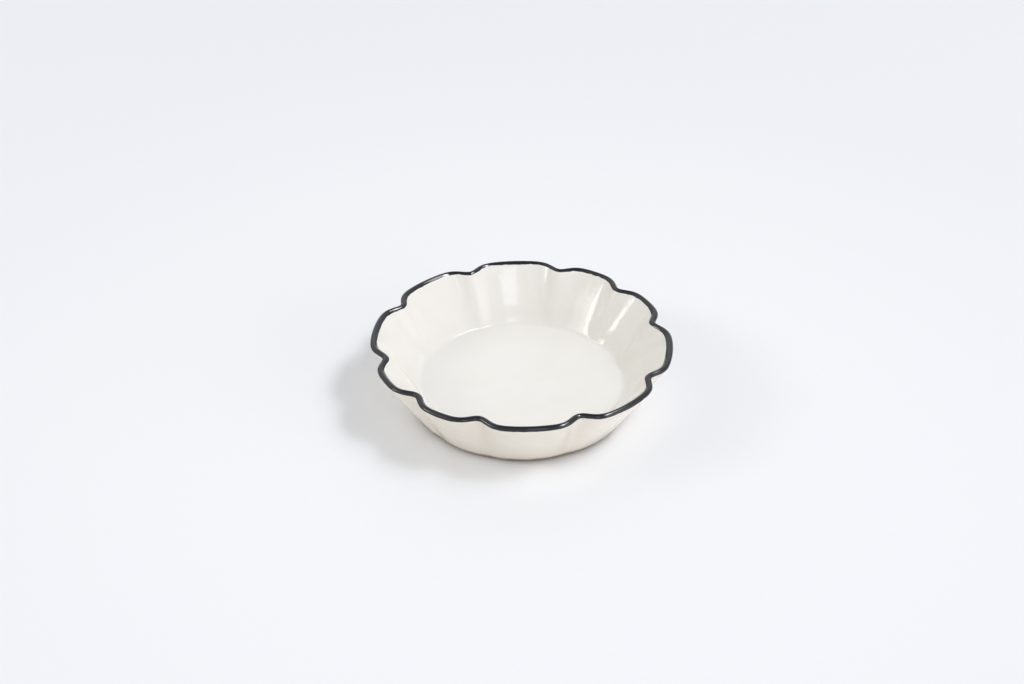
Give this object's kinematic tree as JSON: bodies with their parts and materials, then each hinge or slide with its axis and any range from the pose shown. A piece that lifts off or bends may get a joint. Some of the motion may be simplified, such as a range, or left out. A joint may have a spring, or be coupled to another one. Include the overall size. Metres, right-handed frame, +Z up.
{
  "type": "soy sauce dish",
  "caption": "Small round ceramic sauce dish with a flat floor, a fluted petal-edged wall, cream glaze and a dark glaze band over the lip.",
  "frame": {"origin": "centre of the foot ring's lowest plane, where the dish rests on the table", "axes": "+Z up through the middle of the dish; +X through the middle of a wide petal, so that the longest width lies along X and a notch lies at each end of Y"},
  "size_m": [0.106, 0.1042, 0.025],
  "materials": {
    "clay": "matte",
    "cream_glaze": "gloss",
    "dark_glaze": "gloss"
  },
  "bodies": {
    "root": {"clay_body": "clay", "foot_ring": "clay", "inner_glaze": "cream_glaze", "outer_glaze": "cream_glaze", "base_glaze": "cream_glaze", "rim_band": "dark_glaze"}
  },
  "joints": []
}
